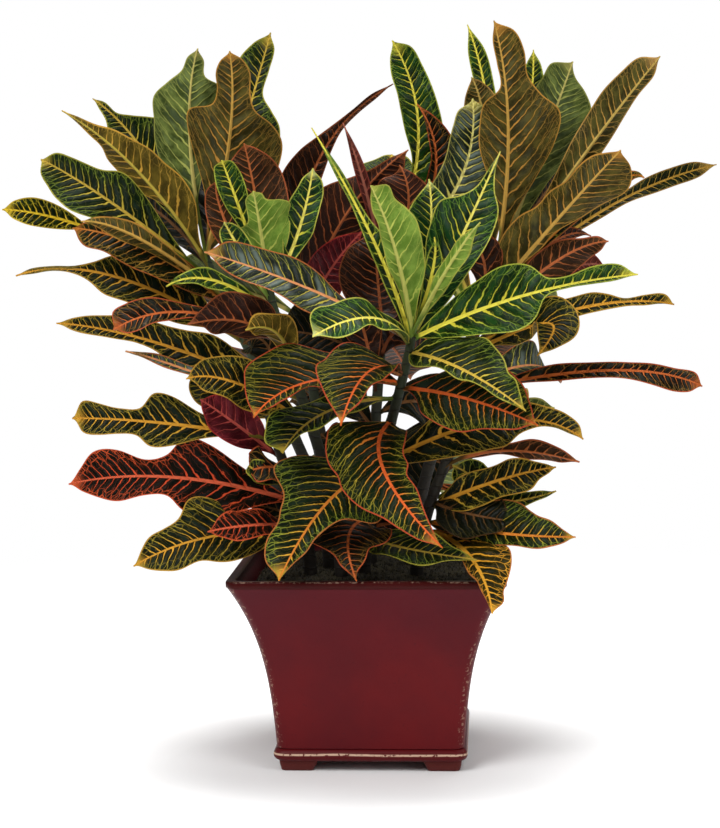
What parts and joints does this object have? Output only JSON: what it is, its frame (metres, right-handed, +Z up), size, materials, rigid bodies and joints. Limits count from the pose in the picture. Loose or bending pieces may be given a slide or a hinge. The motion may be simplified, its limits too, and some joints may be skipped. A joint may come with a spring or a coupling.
{
  "type": "potted croton",
  "caption": "Croton house plant with lobed, veined leaves on upright stems, in a square glazed planter on corner feet.",
  "frame": {"origin": "on the floor, under the middle of the plant's and the planter's outline", "axes": "+Z up, the viewer looks along +Y, +X to the viewer's right"},
  "size_m": [0.5431, 0.3425, 0.5534],
  "materials": {
    "glaze": "maroon glaze, worn at the edges",
    "soil": "damp potting soil",
    "moss": "dry moss",
    "leaves_left": "waxy leaf",
    "leaves_mid_left": "waxy leaf",
    "leaves_low_left": "waxy leaf",
    "leaves_centre": "waxy leaf",
    "leaves_low_right": "waxy leaf",
    "leaves_right": "waxy leaf",
    "leaves_back": "waxy leaf",
    "leaves_back_left": "waxy leaf",
    "leaves_back_right": "waxy leaf"
  },
  "bodies": {
    "root": {"planter": "glaze", "soil": "soil", "moss": "moss", "leafy_stem_left": "leaves_left", "leafy_stem_mid_left": "leaves_mid_left", "leafy_stem_low_left": "leaves_low_left", "leafy_stem_centre": "leaves_centre", "leafy_stem_low_right": "leaves_low_right", "leafy_stem_right": "leaves_right", "leafy_stem_back": "leaves_back", "leafy_stem_back_left": "leaves_back_left", "leafy_stem_back_right": "leaves_back_right"}
  },
  "joints": []
}
